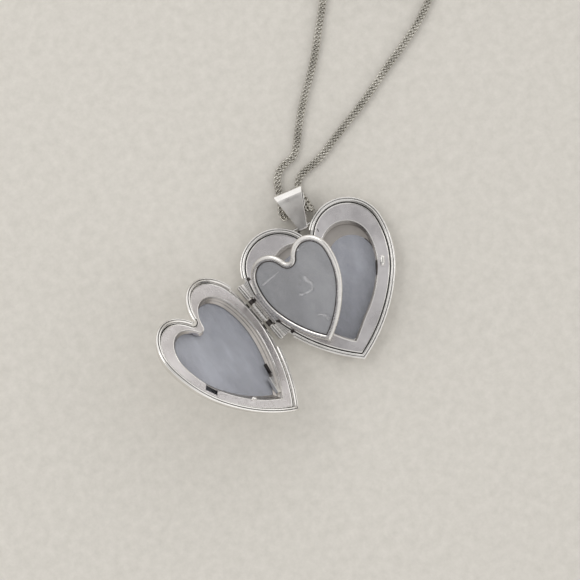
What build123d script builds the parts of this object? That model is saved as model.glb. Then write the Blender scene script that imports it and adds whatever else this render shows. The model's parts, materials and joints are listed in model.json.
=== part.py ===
from build123d import *
from math import acos, cos, radians, sin, sqrt, tan
import os

# Heart-shaped four-picture locket on a curb chain, lying open on its back.
# The heart's line of symmetry is the Y axis with the cleft towards +Y, and the
# back shell rests on Z = 0. Sizes are in millimetres.

# ---- heart outline, taken at the groove just inside the polished rim ----
LOBE_X = 6.00            # centre of each upper lobe, off the line of symmetry
LOBE_Y = 5.23
LOBE_R = 5.43
SHOULDER_R = 14.6        # radius from the lobes to the flanks
SHOULDER_ANGLE = 6.9     # where a lobe runs into its shoulder, degrees
SIDE_R = 27.4            # radius of the long flanks
FLANK_ANGLE = -29.9      # where a shoulder runs into its flank, degrees
CLEFT_R = 1.25           # rounding at the bottom of the cleft
HEART_MID_Y = -0.91      # middle of the heart's height, the centre for scaled hearts

# ---- one half of the case, heights measured from the parting plane ----
PARTING_Z = 2.5          # parting plane above the resting face
RIM_OUT = 0.83           # polished rim: its outer and inner edge from the groove
RIM_IN = 0.12
RIM_H = 0.45
WALL = 0.42              # sheet of the domed shell
SHELL_LIP = 0.48         # outer edge of the shell under the rim
DOME_R = 1.6             # rounding from the sides into the flat of the back
PLATE_TOP = 0.46         # picture frame plate below the parting plane
PLATE_T = 0.32
PLATE_GAP = 0.12         # groove between plate and rim, plate side
RECESS_DEPTH = 1.45      # foot of the frame's wall below the parting plane
FRAME_WALL = 0.16
LENS_T = 0.15
PHOTO_T = 0.15

# ---- windows and inserts: scale of the heart, shift in X and Y ----
BACK_WINDOW = (0.724, 0.87, 0.36)
FRONT_WINDOW = (0.814, 0.01, -0.03)
BACK_INSERT = (0.69, 0.96, -1.40)
FRONT_INSERT = (0.830, 0.01, -0.03)
PAGE = (0.705, -2.51, 0.34)

# ---- hinge ----
HINGE_X = -11.87         # the pin's line crosses the X axis here
HINGE_TILT = 14.89       # its slant against the heart's line of symmetry, degrees
OPEN_ANGLE = 134.9       # how far the cover lies open
PAGE_ANGLE = 39.1        # how far the page is raised
PIN_R = 0.27
KNUCKLE_R = 0.56
KNUCKLE_BORE = 0.31
LEAF_T = 0.40
LEAF_REACH = 4.5         # leaves and the rim's gap reach this far in from the pin's line
ARM_REACH = 3.2          # the page's arms stop inside its wire
ARM_T = 0.60
BACK_UPPER = (2.45, 5.10)
PAGE_UPPER = (1.55, 2.35)
FRONT_MIDDLE = (-1.75, 1.45)
PAGE_LOWER = (-2.80, -1.85)
BACK_LOWER = (-5.45, -2.90)
HINGE_SPAN = (-5.75, 5.30)

# ---- page ----
PAGE_T = 0.80
PAGE_WIRE = 0.85
PAGE_SLOT = 0.44         # groove inside the wire that holds the films and the card
PAGE_SLOT_DEEP = 0.43    # the groove's bottom, in from the wire's outer side
PAGE_ROUND = 0.25
PAGE_LENS_T = 0.13
PAGE_PHOTO_T = 0.16

# ---- catch and small tabs ----
CATCH_X, CATCH_Y = 9.27, -0.80
CATCH_LEAN = -22.0       # the flank's slant beside the catch, degrees
CATCH_SIZE = (0.70, 1.70)
CATCH_TOP = 0.62
LUG_SLOT_SIZE = (1.50, 2.10, 3.0)  # the lug's slot in the cover opens into its window
SPRING_SLOT_AT = (8.40, -1.35)
SPRING_SLOT_SIZE = (0.80, 1.70, 0.90)
PIP_X, PIP_Y = 4.85, -7.00
PIP_LEAN = -43.0
PIP_SIZE = (0.55, 0.95)

# ---- reliefs ----
RELIEFS = [(2.0, 5.15), (1.0, 1.9), (1.3, -2.95), (2.7, -5.6)]
RELIEF_SIZE = (0.62, 0.55, 1.1)
NOTCH_AT = (-5.1, -6.3)  # frees the cover's picture on its hinge side
NOTCH_LEAN = -50.0
NOTCH_SIZE = (1.9, 1.1, 1.0)
PAGE_RELIEF_Y = 7.56     # the cover's rim is cut back to here so that the page lies under it
PAGE_RELIEF_W = 2.8

# ---- bail ----
BAIL_PIN_Y = 9.60
BAIL_PIN_Z = 1.85
BAIL_PIN_R = 0.20
BAIL_PIN_HALF = 2.40
BAIL_EYE_R = 0.59
BAIL_BORE_R = 0.28
BAIL_T = 0.35
BAIL_END_R = 1.50
BAIL_END_Y = 13.85
BAIL_END_Z = 2.86
BAIL_BASE_W = 1.50
BAIL_TOP_W = 4.50
BAIL_YAW = -4.5
RIM_GAP = 1.90

# ---- chain and clasp ----
CHAIN_D = 1.25
LAY_Z = 0.64             # centre of a strand lying on the table
COIL_X, COIL_Y = 33.1, 50.1
COIL_R = 7.0             # middle of the coil's turns
COIL_SECTION = 3.9
COIL_ROUND = 1.0
CLASP_X, CLASP_Y, CLASP_Z = 20.3, 49.8, 0.95
CLASP_R = 2.2
CLASP_TUBE = 0.46
CLASP_HOLLOW = 0.32
BOLT_R = 0.27
TAIL_R = 0.70
TAIL_OUT = 0.95          # centre of the clasp's own small ring, out from the tube's centre line
KNOB_STEM = (0.13, 0.6)  # radius and height of the thumb knob's stem
KNOB_R = 0.26
KNOB_WAY = (0.62, 0.34)  # the knob's slot: through the tube's wall and across
SPRING_BORE = 0.17
LINK_WIRE = 0.20
LINK_R = 0.95
LINK_Z = 1.16

# The chain's route, from the clasp's jump ring down to the bail, through it and
# back up to the coil.
LEFT_STRAND = [
    (20.2, 44.3, 1.0),
    (19.1, 42.0, LAY_Z),
    (16.6, 38.4, LAY_Z),
    (13.2, 33.2, LAY_Z),
    (9.9, 29.4, LAY_Z),
    (7.3, 25.9, LAY_Z),
    (5.2, 22.5, LAY_Z),
    (3.9, 20.6, LAY_Z),
    (1.7, 20.2, LAY_Z),
    (-0.2, 18.9, LAY_Z),
    (-0.75, 16.6, LAY_Z),
]
AT_BAIL = [
    (-1.45, 14.9, LAY_Z),
    (-2.45, 13.7, 0.70),
    (-2.95, 12.6, 1.35),
    (-2.2, 12.0, 2.30),
    (-0.9, 12.6, 2.56),
    (0.9, 12.9, 2.62),
    (2.3, 12.5, 2.50),
    (3.05, 11.95, 1.75),
    (3.05, 12.3, 0.80),
    (2.5, 13.5, LAY_Z),
    (2.1, 15.0, LAY_Z),
]
RIGHT_STRAND = [
    (2.5, 16.5, LAY_Z),
    (3.6, 17.6, LAY_Z),
    (5.3, 18.0, LAY_Z),
    (7.6, 18.7, LAY_Z),
    (10.8, 20.5, LAY_Z),
    (13.7, 22.0, LAY_Z),
    (18.1, 24.2, LAY_Z),
    (23.7, 27.7, LAY_Z),
    (29.6, 30.9, LAY_Z),
    (34.6, 34.6, LAY_Z),
    (38.2, 39.4, LAY_Z),
    (39.7, 44.4, LAY_Z),
    (39.9, 47.6, 0.9),
]
TAIL_STRAND = [
    (29.0, 56.2, 2.6),
    (26.4, 55.3, 1.6),
    (23.9, 54.7, LAY_Z),
    (21.9, 54.3, LAY_Z),
    (20.6, 53.4, 0.95),
]

os.makedirs("parts", exist_ok=True)


# ======================================================================
# heart outlines
# ======================================================================
def heart(grow=0.0, fit=(1.0, 0.0, 0.0)):
    """Closed heart outline, grown outwards by grow, then scaled and shifted."""
    scale, dx, dy = fit
    lobe = LOBE_R + grow / scale
    shoulder = SHOULDER_R + grow / scale
    flank = SIDE_R + grow / scale
    cleft = CLEFT_R - grow / scale
    reach = LOBE_R + CLEFT_R
    cleft_y = LOBE_Y + sqrt(reach ** 2 - LOBE_X ** 2)
    upper = radians(SHOULDER_ANGLE)
    lower = radians(FLANK_ANGLE)
    shoulder_x = LOBE_X - (SHOULDER_R - LOBE_R) * cos(upper)
    shoulder_y = LOBE_Y - (SHOULDER_R - LOBE_R) * sin(upper)
    flank_x = shoulder_x - (SIDE_R - SHOULDER_R) * cos(lower)
    flank_y = shoulder_y - (SIDE_R - SHOULDER_R) * sin(lower)
    tip_y = flank_y - sqrt(flank ** 2 - flank_x ** 2)

    def place(x, y):
        return (x * scale + dx, (y - HEART_MID_Y) * scale + HEART_MID_Y + dy)

    def half(side):
        start = (LOBE_X - lobe * LOBE_X / reach, LOBE_Y + lobe * (cleft_y - LOBE_Y) / reach)
        top = (LOBE_X + lobe * cos(radians(60)), LOBE_Y + lobe * sin(radians(60)))
        join = (LOBE_X + lobe * cos(upper), LOBE_Y + lobe * sin(upper))
        middle = radians((SHOULDER_ANGLE + FLANK_ANGLE) / 2)
        waist = (shoulder_x + shoulder * cos(middle), shoulder_y + shoulder * sin(middle))
        turn = (shoulder_x + shoulder * cos(lower), shoulder_y + shoulder * sin(lower))
        low = radians(-45)
        side_mid = (flank_x + flank * cos(low), flank_y + flank * sin(low))
        points = [start, top, join, waist, turn, side_mid, (0, tip_y)]
        return [place(side * x, y) for x, y in points]

    right = half(1)
    left = half(-1)
    edges = [ThreePointArc(left[0], place(0, cleft_y - cleft), right[0])]
    for first in (0, 2, 4):
        edges.append(ThreePointArc(right[first], right[first + 1], right[first + 2]))
    for first in (4, 2, 0):
        edges.append(ThreePointArc(left[first + 2], left[first + 1], left[first]))
    return Wire(edges)


def slab(outline, low, high, hole=None):
    """Prism of an outline between two heights, with a hole of another outline."""
    body = extrude(Pos(0, 0, low) * make_face(outline.edges()), high - low, dir=(0, 0, 1))
    if hole is not None:
        body -= extrude(Pos(0, 0, low - 1) * make_face(hole.edges()), high - low + 2, dir=(0, 0, 1))
    return body


def soften(body, height, radius):
    """Round the edges that lie flat at a given height."""
    flat = body.edges().filter_by_position(Axis.Z, height - 0.001, height + 0.001)
    return fillet(flat, radius)


def bowl(lip, depth, radius):
    """Heart-shaped bowl under the rim, rounded from its sides into its flat bottom."""
    return soften(slab(heart(lip), -depth, -RIM_H), -depth, radius)


# ======================================================================
# places: back half as it lies, cover turned open, page raised
# ======================================================================
HINGE_PLANE = Plane(
    origin=(HINGE_X, 0, 0),
    x_dir=(cos(radians(HINGE_TILT)), sin(radians(HINGE_TILT)), 0),
    z_dir=(0, 0, 1),
)
HINGE_AXIS = Axis((HINGE_X, 0, PARTING_Z), (-sin(radians(HINGE_TILT)), cos(radians(HINGE_TILT)), 0))


def as_back(body):
    return Pos(0, 0, PARTING_Z) * body


def as_cover(body):
    shut = Pos(0, 0, PARTING_Z) * mirror(body, about=Plane.XY)
    return shut.rotate(HINGE_AXIS, -OPEN_ANGLE)


def as_page(body):
    return (Pos(0, 0, PARTING_Z) * body).rotate(HINGE_AXIS, -PAGE_ANGLE)


def by_hinge(inner, outer, span, low, high):
    """Block beside the hinge: inward from the pin's line, along it, and in height."""
    size = Box(outer - inner, span[1] - span[0], high - low)
    middle = Pos((inner + outer) / 2, (span[0] + span[1]) / 2, (low + high) / 2)
    return HINGE_PLANE * middle * size


def along_pin(radius, span):
    middle = (span[0] + span[1]) / 2
    return HINGE_PLANE * Pos(0, middle, 0) * Rot(90, 0, 0) * Cylinder(radius, span[1] - span[0])


# ======================================================================
# case halves
# ======================================================================
def shell():
    outer = bowl(SHELL_LIP, PARTING_Z, DOME_R)
    return outer - bowl(SHELL_LIP - WALL, PARTING_Z - WALL, DOME_R - WALL)


def rim():
    ring = slab(heart(RIM_OUT), -RIM_H, 0, heart(RIM_IN))
    ring = soften(ring, 0, 0.2)
    return ring - by_hinge(-2, LEAF_REACH, HINGE_SPAN, -1, 1)


def bezel(window):
    """Frame plate with a window, its wall down to the picture and a rolled edge."""
    plate = slab(heart(-PLATE_GAP), -PLATE_TOP - PLATE_T, -PLATE_TOP, heart(0, window))
    plate = soften(plate, -PLATE_TOP, 0.1)
    wall = slab(heart(FRAME_WALL, window), -RECESS_DEPTH, -PLATE_TOP - PLATE_T, heart(0, window))
    return plate + wall


def knuckle(span, seat):
    """Hinge tube with a leaf that reaches in to the case and sits on its edge."""
    leaf = by_hinge(0, LEAF_REACH, span, seat, seat + LEAF_T) - slab(heart(RIM_IN), -2, 2)
    return leaf + along_pin(KNUCKLE_R, span) - along_pin(KNUCKLE_BORE, (span[0] - 1, span[1] + 1))


def insert(fit, top, thick):
    return slab(heart(0, fit), top - thick, top)


# relief holes beside the hinge leaves in the back frame plate
relief = Part()
for across, along in RELIEFS:
    relief += HINGE_PLANE * Pos(across, along, -PLATE_TOP) * Box(*RELIEF_SIZE)

# spring slot beside the catch lug, the lug's slot and the picture's notch in the cover
CATCH_TURN = Rot(0, 0, CATCH_LEAN)
spring_slot = Pos(*SPRING_SLOT_AT, -RECESS_DEPTH + 0.15) * CATCH_TURN * Box(*SPRING_SLOT_SIZE)
lug_slot = Pos(CATCH_X, CATCH_Y, -PLATE_TOP) * CATCH_TURN * Box(*LUG_SLOT_SIZE)
picture_notch = Pos(*NOTCH_AT, -RECESS_DEPTH) * Rot(0, 0, NOTCH_LEAN) * Box(*NOTCH_SIZE)
back_bezel = bezel(BACK_WINDOW) - relief - spring_slot
front_bezel = bezel(FRONT_WINDOW) - lug_slot - picture_notch

gap_box = Pos(0, BAIL_PIN_Y - 1, -RIM_H / 2) * Box(RIM_GAP, 4, 2)
page_relief = Pos(0, PAGE_RELIEF_Y - 1, -RIM_H / 2) * Box(PAGE_RELIEF_W, 2, 2)
bail_pin = Pos(0, BAIL_PIN_Y, BAIL_PIN_Z) * Rot(0, 90, 0) * Cylinder(BAIL_PIN_R, 2 * BAIL_PIN_HALF)
back_rim = as_back(rim() - gap_box)
back_shell = as_back(shell()) - bail_pin

catch_foot = -PLATE_TOP
lug_box = Box(CATCH_SIZE[0], CATCH_SIZE[1], CATCH_TOP - catch_foot)
catch_lug = Pos(CATCH_X, CATCH_Y, (catch_foot + CATCH_TOP) / 2) * CATCH_TURN * lug_box
catch_lug = soften(catch_lug, CATCH_TOP, 0.2)
pip = Pos(PIP_X, PIP_Y, catch_foot + 0.3) * Rot(0, 0, PIP_LEAN) * Box(PIP_SIZE[0], PIP_SIZE[1], 0.6)
pip = soften(pip, catch_foot + 0.6, 0.18)

lens_top = -RECESS_DEPTH - 0.03
photo_top = lens_top - LENS_T - 0.01

# ======================================================================
# page
# ======================================================================
page_ring = slab(heart(0, PAGE), -PAGE_T / 2, PAGE_T / 2, heart(-PAGE_WIRE, PAGE))
page_ring = soften(page_ring, PAGE_T / 2, PAGE_ROUND)
page_ring = soften(page_ring, -PAGE_T / 2, PAGE_ROUND)
page_ring -= slab(heart(-PAGE_SLOT_DEEP, PAGE), -PAGE_SLOT / 2, PAGE_SLOT / 2)
PAGE_INSIDE = heart(-PAGE_SLOT_DEEP - 0.03, PAGE)


def page_knuckle(span):
    arm = by_hinge(0, ARM_REACH, span, -ARM_T / 2, ARM_T / 2) - slab(heart(0, PAGE), -2, 2)
    return arm + along_pin(KNUCKLE_R, span) - along_pin(KNUCKLE_BORE, (span[0] - 1, span[1] + 1))


# ======================================================================
# bail: a tapered strap folded over, its lower end turned round a pin
# ======================================================================
def teardrop(eye_r, end_r):
    """Outline round two circles, the eye on the pin and the wide fold."""
    span_y = BAIL_END_Y - BAIL_PIN_Y
    span_z = BAIL_END_Z - BAIL_PIN_Z
    reach = sqrt(span_y ** 2 + span_z ** 2)
    along = (span_y / reach, span_z / reach)
    lean = acos((eye_r - end_r) / reach)
    sides = []
    for side in (1, -1):
        normal = (
            along[0] * cos(lean) - side * along[1] * sin(lean),
            along[1] * cos(lean) + side * along[0] * sin(lean),
        )
        eye = (BAIL_PIN_Y + eye_r * normal[0], BAIL_PIN_Z + eye_r * normal[1])
        end = (BAIL_END_Y + end_r * normal[0], BAIL_END_Z + end_r * normal[1])
        sides.append((eye, end))
    eye_back = (BAIL_PIN_Y - eye_r * along[0], BAIL_PIN_Z - eye_r * along[1])
    end_far = (BAIL_END_Y + end_r * along[0], BAIL_END_Z + end_r * along[1])
    outline = [
        Line(sides[0][0], sides[0][1]),
        ThreePointArc(sides[0][1], end_far, sides[1][1]),
        Line(sides[1][1], sides[1][0]),
        ThreePointArc(sides[1][0], eye_back, sides[0][0]),
    ]
    return Plane.YZ * make_face(Wire(outline).edges())


def strap_loop():
    width = BAIL_TOP_W + 1
    outer = extrude(teardrop(BAIL_EYE_R, BAIL_END_R), width / 2, both=True)
    inner = extrude(teardrop(BAIL_BORE_R, BAIL_END_R - BAIL_T), width, both=True)
    base = BAIL_PIN_Y - BAIL_EYE_R
    top = BAIL_END_Y + BAIL_END_R
    taper = Polyline(
        (-BAIL_BASE_W / 2, base - 0.5),
        (BAIL_BASE_W / 2, base - 0.5),
        (BAIL_BASE_W / 2, BAIL_PIN_Y),
        (BAIL_TOP_W / 2, top),
        (BAIL_TOP_W / 2, top + 0.5),
        (-BAIL_TOP_W / 2, top + 0.5),
        (-BAIL_TOP_W / 2, top),
        (-BAIL_BASE_W / 2, BAIL_PIN_Y),
        close=True,
    )
    plan = extrude(make_face(taper.edges()), 12)
    loop = (outer - inner) & plan
    return loop.rotate(Axis((0, BAIL_PIN_Y, 0), (0, 0, 1)), BAIL_YAW)


# ======================================================================
# chain tubes
# ======================================================================
def bend_radii(route):
    """Radius at each corner: 0.45 of the shorter run over the tangent of half the turn."""
    radii = []
    for before, here, after in zip(route, route[1:], route[2:]):
        run_in = Vector(*here) - Vector(*before)
        run_out = Vector(*after) - Vector(*here)
        turn = run_in.get_angle(run_out)
        shorter = min(run_in.length, run_out.length)
        radii.append(0.45 * shorter / tan(radians(turn) / 2))
        print("turn %5.1f  run %5.2f  radius %6.2f" % (turn, shorter, radii[-1]))
    return radii


def halfway(here, there):
    return tuple((a + b) / 2 for a, b in zip(here, there))


def strand(route):
    path = FilletPolyline(*route, radius=bend_radii(route))
    start = Plane(origin=path @ 0, z_dir=path % 0)
    tube = sweep(start * Circle(CHAIN_D / 2), path=path)
    print("length %.1f  volume %.2f  section x length %.2f" % (
        path.length, tube.volume, 3.14159 * CHAIN_D ** 2 / 4 * path.length))
    return tube


def wound_coil():
    half = COIL_SECTION / 2
    section = Plane.XZ * Pos(COIL_R, half + 0.01) * RectangleRounded(COIL_SECTION, COIL_SECTION, COIL_ROUND)
    return Pos(COIL_X, COIL_Y, 0) * revolve(section, Axis.Z)


# ======================================================================
# spring-ring clasp
# ======================================================================
def arc_tube(radius, first, last):
    """Round rod bent to the clasp's ring, between two angles."""
    path = CenterArc((0, 0, 0), CLASP_R, first, last - first)
    start = Plane(origin=path @ 0, z_dir=path % 0)
    return sweep(start * Circle(radius), path=path)


def ring(radius, wire):
    return Torus(radius, wire)


AT_CLASP = Pos(CLASP_X, CLASP_Y, CLASP_Z)
GAP = (66, 114)          # mouth of the ring, degrees
BOLT = (56, 170)         # the bolt bridges the mouth
SPRING = (171, 290)
KNOB_AT = 158
KNOB_SLOT = (148, 225)

body = arc_tube(CLASP_TUBE, GAP[1], GAP[0] + 360) - arc_tube(CLASP_HOLLOW, GAP[1] - 1, 292)
body -= arc_tube(CLASP_HOLLOW, 52, GAP[0] + 1)
slot_arc = CenterArc((0, 0, 0), CLASP_R, KNOB_SLOT[0], KNOB_SLOT[1] - KNOB_SLOT[0])
slot_start = Plane(origin=slot_arc @ 0, x_dir=(0, 0, 1), z_dir=slot_arc % 0)
body -= Pos(0, 0, 0.3) * sweep(slot_start * Rectangle(*KNOB_WAY), path=slot_arc)
tail = Pos(0, -CLASP_R - TAIL_OUT, 0) * ring(TAIL_R, LINK_WIRE)
clasp_body = AT_CLASP * (body + (tail - Torus(CLASP_R, CLASP_HOLLOW)))

knob_x = CLASP_R * cos(radians(KNOB_AT))
knob_y = CLASP_R * sin(radians(KNOB_AT))
knob = Pos(knob_x, knob_y, 0.45) * Cylinder(*KNOB_STEM) + Pos(knob_x, knob_y, 0.75) * Sphere(KNOB_R)
clasp_bolt = AT_CLASP * (arc_tube(BOLT_R, *BOLT) + knob)
clasp_spring = AT_CLASP * (arc_tube(BOLT_R, *SPRING) - arc_tube(SPRING_BORE, SPRING[0] - 1, SPRING[1] + 1))
upright = Rot(0, 90, 0)
jump_ring = Pos(CLASP_X, CLASP_Y - CLASP_R - 2.05, LINK_Z) * upright * ring(LINK_R, LINK_WIRE)
end_ring = Pos(CLASP_X, CLASP_Y + CLASP_R + 0.05, LINK_Z) * upright * ring(LINK_R, LINK_WIRE)

# ======================================================================
# every piece and its file
# ======================================================================
PIN_SPAN = (BACK_LOWER[0] - 0.12, BACK_UPPER[1] + 0.12)
LEAF_SEAT = -RIM_H
LEFT_END = halfway(LEFT_STRAND[-1], AT_BAIL[0])
RIGHT_END = halfway(AT_BAIL[-1], RIGHT_STRAND[0])

pieces = {
    "back_shell": back_shell,
    "back_rim": back_rim,
    "back_frame": as_back(back_bezel),
    "back_window_film": as_back(insert(BACK_INSERT, lens_top, LENS_T)),
    "back_picture": as_back(insert(BACK_INSERT, photo_top, PHOTO_T)),
    "back_knuckle_upper": as_back(knuckle(BACK_UPPER, LEAF_SEAT)),
    "back_knuckle_lower": as_back(knuckle(BACK_LOWER, LEAF_SEAT)),
    "hinge_pin": as_back(along_pin(PIN_R, PIN_SPAN)),
    "catch_lug": as_back(catch_lug),
    "cover_shell": as_cover(shell()),
    "cover_rim": as_cover(rim() - page_relief),
    "cover_frame": as_cover(front_bezel),
    "cover_window_film": as_cover(insert(FRONT_INSERT, lens_top, LENS_T)),
    "cover_picture": as_cover(insert(FRONT_INSERT, photo_top, PHOTO_T)),
    "cover_knuckle": as_cover(knuckle(FRONT_MIDDLE, LEAF_SEAT)),
    "cover_pip": as_cover(pip),
    "page_frame": as_page(page_ring),
    "page_film_upper": as_page(slab(PAGE_INSIDE, PAGE_PHOTO_T / 2, PAGE_PHOTO_T / 2 + PAGE_LENS_T)),
    "page_picture": as_page(slab(PAGE_INSIDE, -PAGE_PHOTO_T / 2, PAGE_PHOTO_T / 2)),
    "page_film_lower": as_page(slab(PAGE_INSIDE, -PAGE_PHOTO_T / 2 - PAGE_LENS_T, -PAGE_PHOTO_T / 2)),
    "page_knuckle_upper": as_page(page_knuckle(PAGE_UPPER)),
    "page_knuckle_lower": as_page(page_knuckle(PAGE_LOWER)),
    "bail_pin": bail_pin,
    "bail": strap_loop(),
    "chain_left": strand(LEFT_STRAND + [LEFT_END]),
    "chain_at_bail": strand([LEFT_END] + AT_BAIL + [RIGHT_END]),
    "chain_right": strand([RIGHT_END] + RIGHT_STRAND),
    "chain_coil": wound_coil(),
    "chain_tail": strand(TAIL_STRAND),
    "jump_ring": jump_ring,
    "end_ring": end_ring,
    "clasp_body": clasp_body,
    "clasp_bolt": clasp_bolt,
    "clasp_spring": clasp_spring,
}

for name, piece in pieces.items():
    export_step(piece, "parts/" + name + ".step")
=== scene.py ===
import json
import math

import bmesh
import bpy
from mathutils import Matrix, Vector


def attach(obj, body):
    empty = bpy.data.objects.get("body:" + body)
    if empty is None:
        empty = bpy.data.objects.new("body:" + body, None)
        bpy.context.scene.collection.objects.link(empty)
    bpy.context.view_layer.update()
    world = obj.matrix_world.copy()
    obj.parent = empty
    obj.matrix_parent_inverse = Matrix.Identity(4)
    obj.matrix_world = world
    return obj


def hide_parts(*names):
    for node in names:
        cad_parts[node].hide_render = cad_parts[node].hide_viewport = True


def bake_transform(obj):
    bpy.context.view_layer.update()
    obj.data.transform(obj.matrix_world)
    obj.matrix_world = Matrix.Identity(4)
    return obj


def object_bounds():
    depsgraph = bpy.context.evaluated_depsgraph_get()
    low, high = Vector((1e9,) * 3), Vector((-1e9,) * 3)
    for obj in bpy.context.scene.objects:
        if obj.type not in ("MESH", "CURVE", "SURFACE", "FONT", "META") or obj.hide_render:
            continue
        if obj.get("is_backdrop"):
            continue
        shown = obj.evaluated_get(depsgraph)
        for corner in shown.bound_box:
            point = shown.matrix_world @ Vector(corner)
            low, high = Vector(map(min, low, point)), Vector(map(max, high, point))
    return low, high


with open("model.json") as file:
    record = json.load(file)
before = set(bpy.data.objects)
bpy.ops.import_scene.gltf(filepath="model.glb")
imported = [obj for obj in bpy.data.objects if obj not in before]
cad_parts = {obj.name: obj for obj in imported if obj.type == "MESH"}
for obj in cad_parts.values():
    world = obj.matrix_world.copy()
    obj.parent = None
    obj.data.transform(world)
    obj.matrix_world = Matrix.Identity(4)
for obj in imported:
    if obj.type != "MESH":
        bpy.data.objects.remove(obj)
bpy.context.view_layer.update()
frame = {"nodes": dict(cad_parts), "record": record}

MM = 0.001                      # lengths below are in millimetres, the frame's are in metres
PARTING_Z = 2.5                 # height of the open case's parting plane above the floor

# ======================================================================
# camera at the photograph's angle
# ======================================================================
CAM_AZIMUTH = -25.11
CAM_ELEVATION = 81.47
CAM_DISTANCE = 516.6
CAM_TARGET = (-5.88, 1.45, 0.0)
CAM_LENS = 201.2
CAM_SENSOR = 36.0
CAM_CLIP = (0.01, 20.0)         # in metres


def make_camera():
    a, e = math.radians(CAM_AZIMUTH), math.radians(CAM_ELEVATION)
    back = Vector((math.sin(a) * math.cos(e), -math.cos(a) * math.cos(e), math.sin(e)))
    data = bpy.data.cameras.new("camera")
    data.lens = CAM_LENS
    data.sensor_width = CAM_SENSOR
    data.clip_start, data.clip_end = CAM_CLIP
    cam = bpy.data.objects.new("camera", data)
    bpy.context.scene.collection.objects.link(cam)
    cam.location = (Vector(CAM_TARGET) + back * CAM_DISTANCE) * MM
    cam.rotation_euler = back.to_track_quat("Z", "Y").to_euler()
    bpy.context.scene.camera = cam


make_camera()


# ======================================================================
# materials
# ======================================================================
class Nodes:
    """A short way to build a material's node tree."""

    def __init__(self, name):
        self.mat = bpy.data.materials.new(name)
        self.mat.use_nodes = True
        self.tree = self.mat.node_tree
        self.bsdf = self.tree.nodes["Principled BSDF"]
        self.coords = self.add("ShaderNodeTexCoord").outputs["Object"]

    def add(self, kind, **values):
        node = self.tree.nodes.new(kind)
        for key, value in values.items():
            if key in node.inputs:
                node.inputs[key].default_value = value
            else:
                setattr(node, key.lower(), value)
        return node

    def link(self, out, into):
        self.tree.links.new(out, into)

    def set(self, **values):
        for key, value in values.items():
            self.bsdf.inputs[key.replace("_", " ")].default_value = value

    def noise(self, scale, detail=3.0, rough=0.55, stretch=None, turn=0.0):
        node = self.add("ShaderNodeTexNoise", Scale=scale, Detail=detail, Roughness=rough)
        where = self.coords
        if stretch is not None:
            mapping = self.add("ShaderNodeMapping")
            mapping.inputs["Scale"].default_value = stretch
            mapping.inputs["Rotation"].default_value = (0, 0, math.radians(turn))
            self.link(where, mapping.inputs["Vector"])
            where = mapping.outputs["Vector"]
        self.link(where, node.inputs["Vector"])
        return node.outputs["Fac"]

    def ramp(self, fac, stops):
        node = self.add("ShaderNodeValToRGB")
        ramp = node.color_ramp
        while len(ramp.elements) < len(stops):
            ramp.elements.new(0.5)
        for element, (place, colour) in zip(ramp.elements, stops):
            element.position = place
            if not hasattr(colour, "__len__"):
                colour = (colour, colour, colour)
            element.color = (*colour, 1.0)
        self.link(fac, node.inputs["Fac"])
        return node.outputs["Color"]

    def spread(self, fac, low, high, start=0.3, end=0.7):
        node = self.add("ShaderNodeMapRange")
        node.inputs["From Min"].default_value = start
        node.inputs["From Max"].default_value = end
        node.inputs["To Min"].default_value = low
        node.inputs["To Max"].default_value = high
        self.link(fac, node.inputs["Value"])
        return node.outputs["Result"]

    def bump(self, height, strength, distance, under=None):
        node = self.add("ShaderNodeBump")
        node.inputs["Strength"].default_value = strength
        node.inputs["Distance"].default_value = distance * MM
        self.link(height, node.inputs["Height"])
        if under is not None:
            self.link(under, node.inputs["Normal"])
        return node.outputs["Normal"]

    def finish(self, colour=None, rough=None, normal=None, alpha=None):
        inputs = (("Base Color", colour), ("Roughness", rough), ("Normal", normal), ("Alpha", alpha))
        for socket, value in inputs:
            if value is not None:
                self.link(value, self.bsdf.inputs[socket])
        return self.mat


def silver(name, dark, light, rough, wear=1.0):
    """Polished silver: faint cloudiness, hairline scratches and small dings."""
    m = Nodes(name)
    m.set(Metallic=1.0)
    clouds = m.noise(260.0, 4.0)
    colour = m.ramp(clouds, [(0.3, dark), (0.7, light)])
    hair = m.noise(900.0, 4.0, 0.6, stretch=(1.0, 9.0, 1.0), turn=31)
    roughness = m.spread(hair, rough[0], rough[1])
    dents = m.noise(520.0, 2.0)
    normal = m.bump(dents, 0.25 * wear, 0.03)
    normal = m.bump(hair, 0.12 * wear, 0.004, normal)
    return m.finish(colour, roughness, normal)


def satin(name, dark, light, rough, grain):
    """Satin silver: fine rolled grain, cloudy patches and faint smudges."""
    m = Nodes(name)
    m.set(Metallic=1.0)
    clouds = m.noise(170.0, 5.0, 0.6)
    colour = m.ramp(clouds, [(0.32, dark), (0.68, light)])
    fine = m.noise(1500.0, 3.0, 0.6, stretch=(1.0, grain, 1.0), turn=-20)
    roughness = m.spread(clouds, rough[0], rough[1])
    normal = m.bump(m.noise(420.0, 3.0), 0.3, 0.02)
    normal = m.bump(fine, 0.22, 0.004, normal)
    return m.finish(colour, roughness, normal)


def card(name, dark, light):
    """Matt picture card with a faint pulp mottle."""
    m = Nodes(name)
    m.set(Roughness=0.7)
    clouds = m.noise(210.0, 5.0, 0.62, stretch=(1.0, 0.55, 1.0), turn=25)
    pulp = m.noise(2600.0, 3.0)
    return m.finish(m.ramp(clouds, [(0.35, dark), (0.65, light)]), None, m.bump(pulp, 0.3, 0.01))


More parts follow.
